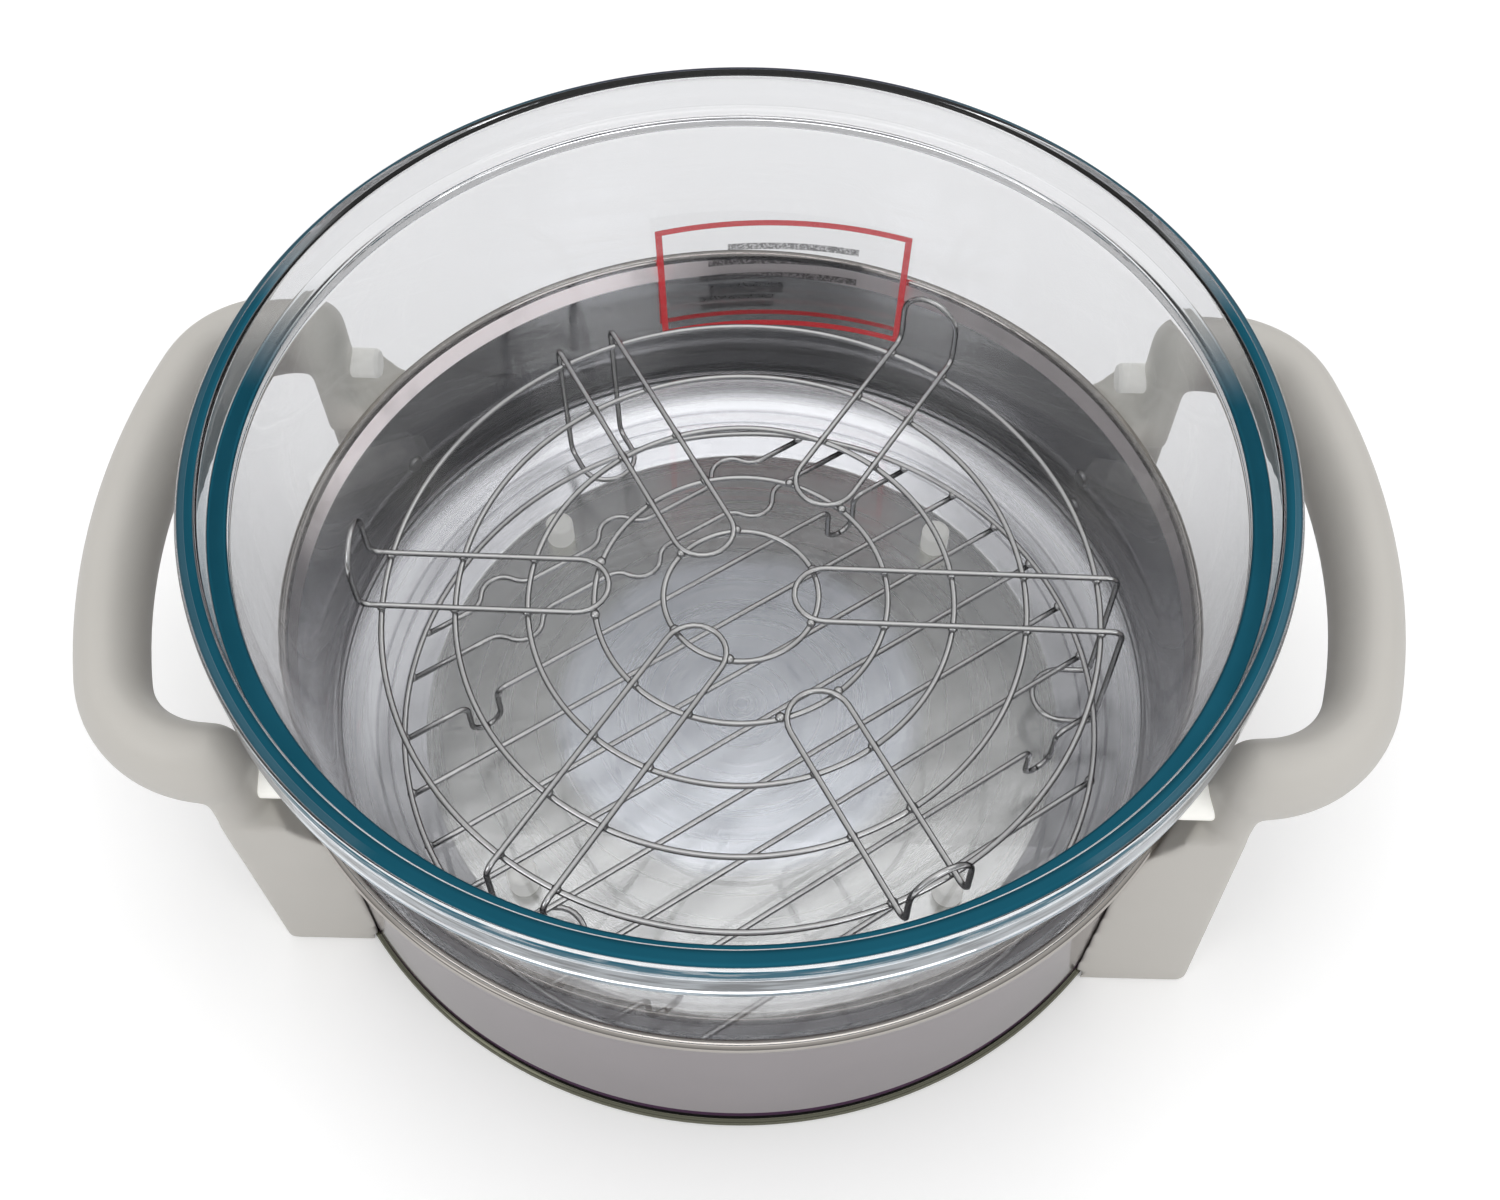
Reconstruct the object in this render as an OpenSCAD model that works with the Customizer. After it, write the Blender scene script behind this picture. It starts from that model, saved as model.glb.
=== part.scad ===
// Open glass cooking bowl of a countertop oven, standing in a polished steel ring
// with two plastic D handles. Two wire racks stand loose on the bowl's floor.
// The origin is the middle of the footprint on the table, and +Y is the back.

/* [Glass bowl] */
// Outer radius of the rim
rim_r = 170; // [160:1:182]
// Height of the bowl from the underside of its floor to the rim
bowl_h = 156; // [146:1:170]
// Width of the upright lip round the rim
lip_w = 6.5; // [5:0.5:8]
// Height of the lip's outer face
lip_h = 20; // [17:1:24]
// Depth of the ledge inside the rim, where a lid sits
ledge_depth = 13; // [9:1:15]
// Width of that ledge
ledge_w = 5.8; // [4.5:0.1:7]
// Thickness of the glass wall
wall_t = 5; // [4:0.5:6]
// Thickness of the glass floor
floor_t = 6; // [5:0.5:8]
// Inside radius of the corner between wall and floor
corner_r = 16; // [12:1:18]
// Draft of the wall, in degrees from upright
draft = 4.5; // [3.5:0.1:5.5]

/* [Steel stand] */
// Height of the steel band, table to the top of its rolled edge
band_top = 89.5; // [80:0.5:94]
// Gap between the bowl and the band
band_clear = 1.2; // [1:0.1:2.5]
// Thickness of the sheet steel
sheet_t = 1; // [0.8:0.1:1.2]
// Radius of the rolled edges
bead_r = 2; // [1.8:0.1:2.4]
// Height of the flared part below the top edge
flare_h = 8; // [6:0.5:10]
// Distance that the flare spreads outward
flare_w = 3; // [2.5:0.1:4]
// Gap between the table and the band's lower edge
table_gap = 0.5; // [0.3:0.1:2]
// Height of the pan's underside over the table
pan_lift = 4; // [2.5:0.5:5]
// Radius of the pan's flat middle
pan_flat_r = 121; // [118:1:130]
// Height that the pan's sloping edge climbs
pan_rise = 13; // [10:1:16]
// Diameter of the pads under the bowl
pad_d = 11; // [8:0.5:14]
// Height of those pads
pad_h = 10.7; // [8:0.1:14]
// Distance from the pads to the edge of the pan's flat middle
pad_edge = 7.5; // [2:0.5:20]

/* [Handles] */
// Width of the oval grip
grip_d = 22.5; // [20:0.5:25]
// Height of the oval grip
grip_h = 32; // [26:0.5:34]
// Height of the grip's centre line below the rim
grip_drop = 52.5; // [50:0.5:56]
// Distance from the middle to the centre line of each leg, front and back
leg_y = 88.5; // [87:0.5:92]
// Radius of the bend between leg and grip
grip_bend_r = 37; // [34:1:38]
// Angle of that bend
grip_bend_a = 74; // [72:1:78]
// Distance that the grip reaches beyond the rim
grip_out = 44; // [43:1:55]
// Thickness of the leg above the band, along the bar
leg_t = 14.5; // [13:0.5:17]
// Depth of the legs' shoulders below the band's top edge
shoulder_drop = 2.5; // [1:0.5:5]
// Gap between the bowl and the leg, bridged by the bumper
bumper_reach = 12.5; // [11:0.5:15]
// Diameter of the bumper
bumper_d = 11; // [8:0.5:12]
// Distance of the bumpers from the legs' centre lines, towards the middle
bumper_in = 2.5; // [0:0.5:3]
// Depth of the bumper's centre line below the rim
bumper_drop = 68; // [66:1:72]
// Diameter of the handle screws
screw_d = 4; // [3:0.5:5]
// Height of the lower screws over the table
screw_low_z = 28; // [26:1:34]
// Height of the upper screws over the table
screw_high_z = 46; // [40:1:50]

/* [Upper rack] */
// Diameter of the rack wire
wire_d = 2.4; // [2:0.1:3]
// Radius of the innermost ring
ring_1_r = 27; // [24:1:30]
// Radius of the second ring
ring_2_r = 51; // [48:1:56]
// Radius of the third ring
ring_3_r = 74; // [70:1:80]
// Radius of the fourth ring
ring_4_r = 99; // [94:1:104]
// Height of the rings over the bowl's floor
rack_h = 62; // [58:1:70]
// Gap between the two wires of a hairpin, centre to centre
pin_w = 22; // [18:1:24]
// Distance of a long hairpin's closed end from the middle
long_tip_r = 18.5; // [17:0.5:21]
// Distance of a short hairpin's closed end from the middle
short_tip_r = 46; // [43:1:48]
// Distance from the legs to the round of the bowl's floor
leg_gap = 0.8; // [0.5:0.1:5]
// Distance from the outermost ring to the legs
leg_out = 7; // [6.5:0.5:8]
// Length of the feet that the legs turn inward to
foot_run = 22; // [20:1:26]
// Height of the upright loops over the rings
loop_h = 26; // [20:1:32]
// Turn of the rack in the bowl, in degrees
rack_turn = -1; // [-2:0.5:0]

/* [Lower rack] */
// Gap between the lower rack's ring and the bowl
low_gap = 2.8; // [2.4:0.1:4]
// Height of the ring over the bowl's floor
low_h = 23; // [20:1:28]
// Place of the ring, right of the middle
low_x = 3.5; // [2.5:0.1:4]
// Place of the ring, in front of the middle
low_front = 20.9; // [20:0.1:21.5]
// Direction of the cross wires, in degrees from the right
low_turn = 34.8; // [34:0.1:35.5]
// Distance between cross wires
low_pitch = 21; // [20.8:0.1:21.4]
// Offset of the first cross wire behind the ring's middle
low_first = 55.8; // [55.5:0.1:56.2]
// Number of cross wires
low_count = 8; // [6:1:8]
// Distance of the foot bends from the middle of their wire
foot_at = 79.5; // [76:0.5:82]
// Radius of the bend at the bottom of a foot
foot_bend_r = 6; // [5:0.5:8]
// Radius of the wires' bulges that hold an egg
egg_bend_r = 8; // [7:0.5:9]
// Distance between egg places along the wires
egg_pitch = 51.5; // [46:0.5:56]
// Gap between the two egg wires away from the bulges
egg_gap = 14.4; // [12:0.1:16]

/* [Panel] */
// Width of the clear panel on the bowl's back, in degrees round the bowl
panel_a = 38; // [30:1:42]
// Height of the panel
panel_h = 62; // [50:1:64]
// Height of the panel's lower edge over the table
panel_z = 51; // [46:1:60]

/* [Hidden] */
$fn = 64;
// Gap between pieces that rest on each other
seat = 0.3;
// Gap between pieces held flat together
touch = 0.1;
// Overrun of a cut, or of a piece that is cut to its seat
over = 1;
// Clearance round a stem or a screw in its hole
hole_gap = 0.05;
// Overlap of welded wires
weld = 0.2;
// Thickness of the panel's film
film_t = 0.3;
// Bend radius of the rack wires
wire_bend_r = 4;
// Rounding of the rim
rim_round = 2;
// Angle between two hairpins
pin_step = 60;
// Angle of the short bends of an egg bulge
egg_a = 60;
// Index of the cross wires that are bent into feet
foot_wires = [0, 6];
// Step from the grip's side to the leg's
leg_inset = 0.4;
// Chamfer of the legs
leg_chamfer = 3;
// Depth that the bumper is sunk into the leg
bumper_seat = 3;
// Extra radius of the collar that joins two bends, and its length
collar = 0.02;
collar_len = 0.6;
// Length of the screws, and their heads
screw_len = 14;
screw_head_t = 1;
screw_head_d = 7;
// Length of the bumper's stem in the leg
stem_len = 8;
// Middle of the panel, in degrees from the right
panel_mid = 85.5;
// Direction of the pads, in degrees from the right
pad_az = 45;

bowl_z = pan_lift + sheet_t + pad_h + seat;
rim_z = bowl_z + bowl_h;
floor_z = bowl_z + floor_t;
ledge_z = rim_z - ledge_depth;
ledge_r = rim_r - lip_w - ledge_w;
lip_z = rim_z - lip_h;
wire_r = wire_d / 2;

// Radius of the bowl's inner face at a height, and of its outer face
function bowl_in(z) = ledge_r - (ledge_z - z) * tan(draft);
function bowl_out(z) = bowl_in(z) + wall_t / cos(draft);

flare_z = band_top - bead_r - flare_h;
band_in = bowl_out(flare_z) + band_clear;
band_out = band_in + sheet_t;
// The band's lower edge is rolled round a bead in line with the sheet
low_bead_at = band_in + sheet_t / 2;
post_in = bowl_out(rim_z - bumper_drop) + bumper_reach;
leg_x = sqrt(pow(post_in, 2) - pow(leg_y, 2)) + leg_t;
leg_half = grip_d / 2 - leg_inset;
grip_z = rim_z - grip_drop;
shoulder_z = band_top - shoulder_drop;
post_top_z = grip_z + grip_h / 2 - leg_half;
grip_arc_a = 180 - 2 * grip_bend_a;
grip_arc_r = (leg_y - grip_bend_r * (1 - cos(grip_bend_a))) / sin(grip_arc_a / 2);
grip_bend_x = rim_r + grip_out - grip_d / 2 - grip_arc_r * (1 - cos(grip_arc_a / 2))
    - grip_bend_r * sin(grip_bend_a);
// Middle of a leg's round inner side, which the bar starts from
leg_axis = sqrt(pow(post_in, 2) - pow(leg_y, 2)) + leg_half;
bar_x = min(leg_axis, grip_bend_x - over);
// Plane of the bumper's nose, and of the seat behind it
bumper_z = rim_z - bumper_drop;
nose_cut = 0.8;
bumper_y = leg_y - bumper_in;
nose_x = sqrt(pow(bowl_out(bumper_z + bumper_d / 2) + seat, 2) - pow(bumper_y - nose_cut * bumper_d / 2, 2));
seat_x = leg_axis - leg_half + bumper_seat;
screw_az = asin(leg_y / (band_out + leg_t / 2));
ring_z = floor_z + rack_h;
pin_z = ring_z + wire_d - weld;
out_r = bowl_in(floor_z + corner_r * (1 - sin(draft))) - corner_r * cos(draft) - leg_gap;
ring_5_r = out_r - leg_out;
foot_z = floor_z + seat + wire_r;
low_z = floor_z + low_h;
low_ring_r = bowl_in(low_z) - low_gap - wire_r - norm([low_x, low_front]);
cross_z = low_z - wire_d + weld;
egg_in_v = low_first + low_pitch;
egg_out_v = egg_in_v + egg_gap;

// Points of an arc of radius r about [x, z]
function arc(x, z, r, a0, a1, n = 6) =
    [for (i = [0 : n]) let (a = a0 + (a1 - a0) * i / n) [x + r * cos(a), z + r * sin(a)]];

// Centre, across, of a corner of radius r that runs into a wall whose radius at z is wall(z)
function corner_x(wall_r, r) = wall_r - r * cos(draft);

// Half of the bowl's section
function bowl_section() =
    let (
        out_r0 = corner_r + wall_t,
        out_cz = bowl_z + out_r0,
        out_cx = corner_x(bowl_out(out_cz - out_r0 * sin(draft)), out_r0),
        in_cz = floor_z + corner_r,
        in_cx = corner_x(bowl_in(in_cz - corner_r * sin(draft)), corner_r)
    )
    concat(
        [[0, bowl_z]],
        arc(out_cx, out_cz, out_r0, -90, -draft, 8),
        [[bowl_out(lip_z), lip_z]],
        arc(rim_r - rim_round, lip_z + rim_round, rim_round, -90, 0),
        arc(rim_r - rim_round, rim_z - rim_round, rim_round, 0, 90),
        arc(rim_r - lip_w + rim_round, rim_z - rim_round, rim_round, 90, 180),
        [[rim_r - lip_w, ledge_z], [ledge_r, ledge_z]],
        arc(in_cx, in_cz, corner_r, -draft, -90, 8),
        [[0, floor_z]]
    );

module glass_bowl() {
    color("lightcyan", 0.35)
        rotate_extrude($fn = 128) polygon(bowl_section());
}

// Clear film stuck on the outside of the bowl's wall
module panel_film() {
    top_z = panel_z + panel_h;
    low_r = bowl_out(panel_z) + touch;
    top_r = bowl_out(top_z) + touch;
    color("mistyrose", 0.6)
        rotate([0, 0, panel_mid - panel_a / 2])
            rotate_extrude(angle = panel_a)
                polygon([[low_r, panel_z], [low_r + film_t, panel_z],
                    [top_r + film_t, top_z], [top_r, top_z]]);
}

// Round hole through the band and the leg behind it, for each screw
module screw_places() {
    for (side = [0, 180], front = [-1, 1], z = [screw_low_z, screw_high_z])
        rotate([0, 0, side + front * screw_az]) translate([band_in, 0, z]) rotate([0, 90, 0]) children();
}

// Rolled edges, flare and wall of one sheet
module steel_band() {
    top_r = band_in + flare_w;
    top_c = band_top - bead_r;
    low_c = table_gap + bead_r;
    color("silver")
        difference() {
            rotate_extrude($fn = 128) {
                translate([band_in, low_c]) square([sheet_t, flare_z - low_c]);
                polygon([[band_in, flare_z], [band_out, flare_z], [top_r + sheet_t, top_c], [top_r, top_c]]);
                translate([top_r + sheet_t / 2, top_c]) circle(bead_r);
                translate([low_bead_at, low_c]) circle(bead_r);
            }
            screw_places() cylinder(h = 3 * sheet_t, d = screw_d + 4 * hole_gap, center = true);
        }
}

// Shallow pan closing the band's foot, with a sloping edge welded to the band
module base_pan() {
    edge_r = band_in + weld / 4;
    low = pan_lift;
    high = pan_lift + pan_rise;
    color("gainsboro")
        rotate_extrude($fn = 128)
            polygon([[0, low], [pan_flat_r, low], [band_in - sheet_t, high], [edge_r, high],
                [edge_r, high + 3 * sheet_t], [band_in - sheet_t, high + 3 * sheet_t],
                [band_in - sheet_t, high + sheet_t], [pan_flat_r - sheet_t / 3, low + sheet_t],
                [0, low + sheet_t]]);
}

module bowl_pad(az) {
    cap = pad_d / 8;
    color("white")
        rotate([0, 0, az]) translate([pan_flat_r - pad_edge - pad_d / 2, 0, pan_lift + sheet_t]) {
            cylinder(h = pad_h - cap, d = pad_d);
            translate([0, 0, pad_h - cap]) cylinder(h = cap, d1 = pad_d, d2 = pad_d - 2 * cap);
        }
}

// Straight and bent lengths of round bar laid end to end, starting along +X in the XY plane.
// A step is [length, 0], or [bend radius, angle to the left]. With joined set, a collar joins
// each two steps.
module bent_bar(r, steps, joined = false, i = 0) {
    if (i < len(steps)) {
        size = steps[i][0];
        turn = steps[i][1];
        side = sign(turn);
        if (joined && i > 0)
            rotate([0, 90, 0]) cylinder(h = collar_len, r = r + collar, center = true);
        if (turn == 0) {
            rotate([0, 90, 0]) cylinder(h = size, r = r);
            translate([size, 0, 0]) bent_bar(r, steps, joined, i + 1);
        } else {
            translate([0, side * size, 0]) {
                rotate([0, 0, side > 0 ? -90 : 90 + turn])
                    rotate_extrude(angle = abs(turn)) translate([size, 0]) circle(r);
                rotate([0, 0, turn]) translate([0, -side * size, 0]) bent_bar(r, steps, joined, i + 1);
            }
        }
    }
}

// One leg, at its place along +X, before the band is cut from it: a block up to the shoulder,
// and above it a post that is flat outside, round towards the bowl and round on top
module leg_block() {
    inner_x = sqrt(pow(band_in, 2) - pow(leg_y + leg_half, 2)) - over;
    c = leg_chamfer;
    top_a = 75;
    for (part = [[inner_x, shoulder_z], [leg_axis, post_top_z]])
        linear_extrude(height = part[1])
            polygon([[part[0], -leg_half], [leg_x - c, -leg_half], [leg_x, c - leg_half],
                [leg_x, leg_half - c], [leg_x - c, leg_half], [part[0], leg_half]]);
    translate([leg_axis, 0, 0]) rotate_extrude()
        polygon(concat([[0, 0], [leg_half, 0]], arc(0, post_top_z, leg_half, 0, top_a),
            [[0, post_top_z + leg_half * sin(top_a)]]));
}

// One handle, on the right: two legs that carry the stand, and the grip between them
module handle() {
    foot_step = table_gap + 2 * bead_r + 2 * seat;
    wall = band_out + touch;
    roll = band_in + flare_w + sheet_t / 2 + bead_r + seat;
    difference() {
        union() {
            translate([bar_x, -leg_y, grip_z]) scale([1, 1, grip_h / grip_d])
                bent_bar(grip_d / 2, [[grip_bend_x - bar_x, 0], [grip_bend_r, grip_bend_a],
                    [grip_arc_r, grip_arc_a], [grip_bend_r, grip_bend_a], [grip_bend_x - bar_x, 0]], true);
            for (s = [-1, 1]) translate([0, s * leg_y, 0]) leg_block();
        }
        // Room for the band's wall, flare and upper roll
        rotate_extrude($fn = 128)
            polygon([[0, foot_step - over], [wall, foot_step - over], [wall, flare_z - over],
                [roll, band_top - 3 * bead_r / 2], [roll, rim_z], [0, rim_z]]);
        translate([0, 0, -over]) cylinder(h = foot_step + over, r = low_bead_at + bead_r + seat, $fn = 128);
        screw_places() cylinder(h = screw_len + hole_gap, d = screw_d + 2 * hole_gap);
        for (s = [-1, 1])
            translate([seat_x, s * bumper_y, bumper_z]) rotate([0, 90, 0]) {
                translate([0, 0, -leg_half]) cylinder(h = leg_half, d = bumper_d + 2 * hole_gap);
                cylinder(h = stem_len + seat, d = bumper_d / 2 + 2 * hole_gap);
            }
    }
}

module handle_right() {
    color("antiquewhite") handle();
}

module handle_left() {
    color("antiquewhite") rotate([0, 0, 180]) handle();
}

module handle_screws() {
    color("dimgray")
        screw_places() {
            cylinder(h = screw_len, d = screw_d);
            translate([0, 0, -screw_head_t])
                cylinder(h = screw_head_t, d1 = screw_head_d - 1, d2 = screw_head_d);
        }
}

// Rubber bumper sunk into a leg, with a bevelled nose that steadies the bowl
module bumper(side, front) {
    body = seat_x - nose_x;
    color("white")
        scale([side, front, 1]) translate([nose_x, bumper_y, bumper_z]) rotate([0, 90, 0]) {
            cylinder(h = body / 8, d1 = bumper_d * nose_cut, d2 = bumper_d);
            translate([0, 0, body / 8]) cylinder(h = body * 7 / 8 - touch, d = bumper_d);
            translate([0, 0, body / 2]) cylinder(h = body / 2 + stem_len, d = bumper_d / 2);
        }
}

module upper_ring(r) {
    color("gainsboro")
        translate([0, 0, ring_z]) rotate_extrude($fn = 128) translate([r, 0]) circle(wire_r, $fn = 24);
}

// Half ring that joins two wires, open towards +X
module pin_end() {
    rotate([0, 0, 90]) rotate_extrude(angle = 180) translate([pin_w / 2, 0]) circle(wire_r);
}

// Hairpin whose wires go down as a leg and turn inward as a foot
module leg_pin(az) {
    b = wire_bend_r;
    tip_x = long_tip_r + pin_w / 2;
    foot_x = out_r - foot_run + pin_w / 2;
    color("gainsboro")
        rotate([0, 0, az + rack_turn]) {
            translate([tip_x, 0, pin_z]) pin_end();
            for (s = [-1, 1])
                translate([tip_x, s * pin_w / 2, pin_z]) rotate([90, 0, 0])
                    bent_bar(wire_r, [[out_r - b - tip_x, 0], [b, -90], [pin_z - foot_z - 2 * b, 0],
                        [b, -90], [out_r - b - foot_x, 0]]);
            translate([foot_x, 0, foot_z]) pin_end();
        }
}

// Hairpin whose wires turn up as a loop, a foot when the rack is turned over
module loop_pin(az) {
    b = wire_bend_r;
    tip_x = short_tip_r + pin_w / 2;
    rise = loop_h - pin_w / 2;
    color("gainsboro")
        rotate([0, 0, az + rack_turn]) {
            translate([tip_x, 0, pin_z]) pin_end();
            for (s = [-1, 1])
                translate([tip_x, s * pin_w / 2, pin_z]) rotate([90, 0, 0])
                    bent_bar(wire_r, [[out_r - b - tip_x, 0], [b, 90], [rise - b, 0]]);
            translate([out_r, 0, pin_z + rise]) rotate([0, 90, 0]) pin_end();
        }
}

// Frame of the lower rack's wires: x runs along them, y is their offset behind the ring's middle
module low_frame(v, z) {
    color("gainsboro")
        translate([low_x, -low_front, z]) rotate([0, 0, low_turn]) translate([0, v, 0]) children();
}

// Half length of a wire at offset v
function low_half(v) = sqrt(pow(low_ring_r, 2) - pow(v, 2));

module lower_ring() {
    low_frame(0, low_z) rotate_extrude($fn = 128) translate([low_ring_r, 0]) circle(wire_r, $fn = 24);
}

module cross_wire(i) {
    v = low_first - i * low_pitch;
    low_frame(v, cross_z) translate([-low_half(v), 0, 0]) bent_bar(wire_r, [[2 * low_half(v), 0]]);
}

// Cross wire with a foot bent down near each end
module foot_wire(i) {
    v = low_first - i * low_pitch;
    b = wire_bend_r;
    w = foot_bend_r;
    drop = cross_z - foot_z - b - w;
    end = low_half(v) - foot_at - b - w;
    foot = [[b, -90], [drop, 0], [w, 180], [drop, 0], [b, -90]];
    low_frame(v, cross_z) translate([-low_half(v), 0, 0]) rotate([90, 0, 0])
        bent_bar(wire_r, concat([[end, 0]], foot, [[2 * (foot_at - b - w), 0]], foot, [[end, 0]]));
}

// Cross wire with three bulges that face its neighbour's, one place for an egg at each
module egg_wire(v, side) {
    r = egg_bend_r;
    bulge = [[r, side * egg_a], [r, -2 * side * egg_a], [r, side * egg_a]];
    half = 2 * r * sin(egg_a);
    between = egg_pitch - 2 * half;
    end = low_half(v) - egg_pitch - half;
    low_frame(v, cross_z) translate([-low_half(v), 0, 0])
        bent_bar(wire_r, concat([[end, 0]], bulge, [[between, 0]], bulge, [[between, 0]], bulge, [[end, 0]]),
            true);
}

glass_bowl();
panel_film();
steel_band();
base_pan();
bowl_pad(180 + pad_az);  // bowl_pad_front_left
bowl_pad(-pad_az);  // bowl_pad_front_right
bowl_pad(180 - pad_az);  // bowl_pad_rear_left
bowl_pad(pad_az);  // bowl_pad_rear_right
handle_left();
handle_right();
handle_screws();
bumper(-1, -1);  // bumper_front_left
bumper(1, -1);  // bumper_front_right
bumper(-1, 1);  // bumper_rear_left
bumper(1, 1);  // bumper_rear_right
upper_ring(ring_1_r);  // upper_ring_1
upper_ring(ring_2_r);  // upper_ring_2
upper_ring(ring_3_r);  // upper_ring_3
upper_ring(ring_4_r);  // upper_ring_4
upper_ring(ring_5_r);  // upper_ring_5
leg_pin(0);  // upper_leg_right
leg_pin(2 * pin_step);  // upper_leg_rear
leg_pin(4 * pin_step);  // upper_leg_front
loop_pin(3 * pin_step);  // upper_loop_left
loop_pin(pin_step);  // upper_loop_rear
loop_pin(5 * pin_step);  // upper_loop_front
lower_ring();
foot_wire(foot_wires[0]);  // lower_foot_wire_rear
foot_wire(foot_wires[1]);  // lower_foot_wire_front
cross_wire(1);  // lower_wire_1
cross_wire(2);  // lower_wire_2
cross_wire(3);  // lower_wire_3
cross_wire(4);  // lower_wire_4
cross_wire(5);  // lower_wire_5
cross_wire(7);  // lower_wire_6
egg_wire(egg_in_v, -1);  // lower_egg_wire_inner
egg_wire(egg_out_v, 1);  // lower_egg_wire_outer
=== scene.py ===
import math
import random

import bmesh
import bpy
import numpy as np
from mathutils import Matrix, Vector


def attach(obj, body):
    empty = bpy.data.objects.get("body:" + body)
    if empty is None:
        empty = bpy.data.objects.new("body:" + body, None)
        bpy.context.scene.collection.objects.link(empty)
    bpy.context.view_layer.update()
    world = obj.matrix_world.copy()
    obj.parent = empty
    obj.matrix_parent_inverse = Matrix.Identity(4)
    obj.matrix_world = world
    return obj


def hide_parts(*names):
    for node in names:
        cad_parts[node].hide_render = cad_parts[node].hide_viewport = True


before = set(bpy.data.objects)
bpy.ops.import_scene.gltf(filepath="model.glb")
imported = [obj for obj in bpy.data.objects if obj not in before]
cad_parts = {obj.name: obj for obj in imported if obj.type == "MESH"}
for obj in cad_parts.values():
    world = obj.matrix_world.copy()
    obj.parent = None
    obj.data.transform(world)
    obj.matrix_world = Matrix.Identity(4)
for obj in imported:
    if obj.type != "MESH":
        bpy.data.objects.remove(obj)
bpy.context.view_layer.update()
mm = 0.001

# Camera: a normal lens above the front edge of the table, looking down into the bowl.
lens = bpy.data.cameras.new("lens")
lens.lens = 40.8
lens.sensor_width = 36
lens.sensor_fit = "HORIZONTAL"
lens.clip_start = 0.01
camera = bpy.data.objects.new("camera", lens)
camera.location = (11.6 * mm, -323.4 * mm, 579.1 * mm)
camera.rotation_euler = (math.radians(33.0), 0, math.radians(1.5))
bpy.context.scene.collection.objects.link(camera)
bpy.context.scene.camera = camera
bpy.context.scene.view_settings.view_transform = "Standard"
bpy.context.scene.cycles.glossy_bounces = 16
bpy.context.scene.cycles.max_bounces = 24
bpy.context.scene.cycles.transmission_bounces = 24


class Field:
    """What a shader node gives out, so that materials are written as Python sums."""

    def __init__(self, tree, socket=None):
        self.tree = tree
        self.socket = socket

    def node(self, kind, settings=None, inputs=None, output=0):
        """Adds a node, sets it, gives its sockets values or links, and returns one output."""
        made = self.tree.nodes.new("ShaderNode" + kind)
        for name, value in (settings or {}).items():
            setattr(made, name, value)
        for name, value in (inputs or {}).items():
            if isinstance(value, Field):
                self.tree.links.new(value.socket, made.inputs[name])
            else:
                made.inputs[name].default_value = value
        return Field(self.tree, made.outputs[output])

    def maths(self, operation, *others):
        return self.node("Math", {"operation": operation}, dict(enumerate((self, *others))))

    def __add__(self, other):
        return self.maths("ADD", other)

    def __sub__(self, other):
        return self.maths("SUBTRACT", other)

    def __rsub__(self, other):
        return self * -1.0 + other

    def __mul__(self, other):
        return self.maths("MULTIPLY", other)

    def __truediv__(self, other):
        return self.maths("DIVIDE", other)

    __radd__ = __add__
    __rmul__ = __mul__

    def step(self, low, high, start=0.0, end=1.0):
        """Rises smoothly from start to end as the field goes from low to high."""
        return self.node(
            "MapRange",
            {"interpolation_type": "SMOOTHSTEP"},
            {0: self, 1: low, 2: high, 3: start, 4: end},
        )

    def band(self, low, high, soft):
        """One between low and high, falling to nothing over soft outside them."""
        return self.step(low - soft, low) * self.step(high, high + soft, 1.0, 0.0)

    def mix(self, first, second):
        """The first colour where the field is nothing, the second where it is one."""
        return self.node("Mix", {"data_type": "RGBA"}, {0: self, 6: first, 7: second}, 2)

    def noise(self, place, scale, detail=3.0, stretch=(1, 1, 1)):
        """Cloudy noise, from about 0.2 to 0.8, with so many clouds to the metre."""
        scaled = self.node("Mapping", {"vector_type": "POINT"}, {0: place, 3: stretch})
        return self.node("TexNoise", {}, {"Vector": scaled, "Scale": scale, "Detail": detail})

    def relief(self, depth):
        """A surface normal that rises by depth metres where the field is one."""
        return self.node("Bump", {}, {"Strength": 1.0, "Distance": depth, "Height": self})

    def feed(self, shader, socket):
        self.tree.links.new(self.socket, shader.inputs[socket])


def new_material(name, **plain):
    """A new material, its Principled shader with these plain values, and its object places."""
    material = bpy.data.materials.new(name)
    material.use_nodes = True
    shader = material.node_tree.nodes["Principled BSDF"]
    for socket, value in plain.items():
        shader.inputs[socket.replace("_", " ")].default_value = value
    start = Field(material.node_tree)
    place = start.node("TexCoord", output=3)
    return material, shader, place


def split(place):
    """The x, y and z of a place, and its distance from the bowl's axis."""
    x, y, z = (place.node("SeparateXYZ", {}, {0: place}, axis) for axis in range(3))
    return x, y, z, (x * x + y * y).maths("SQRT")


# World: white to the eye and through glass. Polished metal and glass see a studio of their
# own: dark low down, grey above, with one softbox overhead, one behind on the right and one
# in front on the left.
world = bpy.data.worlds.new("studio")
bpy.context.scene.world = world
world.use_nodes = True
sky = world.node_tree.nodes["Background"]
start = Field(world.node_tree)
toward = start.node("TexCoord", output=0)


def softbox(direction, inner, outer):
    """One within an angle of a direction, in degrees, and nothing beyond a wider angle."""
    aim = Vector(direction).normalized()
    facing = toward.node("VectorMath", {"operation": "DOT_PRODUCT"}, {0: toward, 1: aim}, 1)
    return facing.step(math.cos(math.radians(outer)), math.cos(math.radians(inner)))


height = toward.node("SeparateXYZ", {}, {0: toward}, 2)
seen = height.step(0.0, 0.3, 0.16, 0.42) + height.step(0.3, 0.8, 0.0, 0.2)
seen = seen + softbox((0.0, -0.1, 1.0), 15, 25) * 0.45 + softbox((0.5, 0.5, 0.75), 9, 18) * 0.5
seen = seen + softbox((-0.7, -0.6, 0.5), 8, 16) * 0.7
glossy = start.node("LightPath", output=3)
direct = start.node("LightPath", output=0).maths("MAXIMUM", start.node("LightPath", output=6))
level = glossy * seen + (1.0 - glossy) * (direct * 0.28 + 0.72)
sky.inputs["Color"].default_value = (1.0, 1.0, 1.0, 1.0)
level.feed(sky, "Strength")


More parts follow.
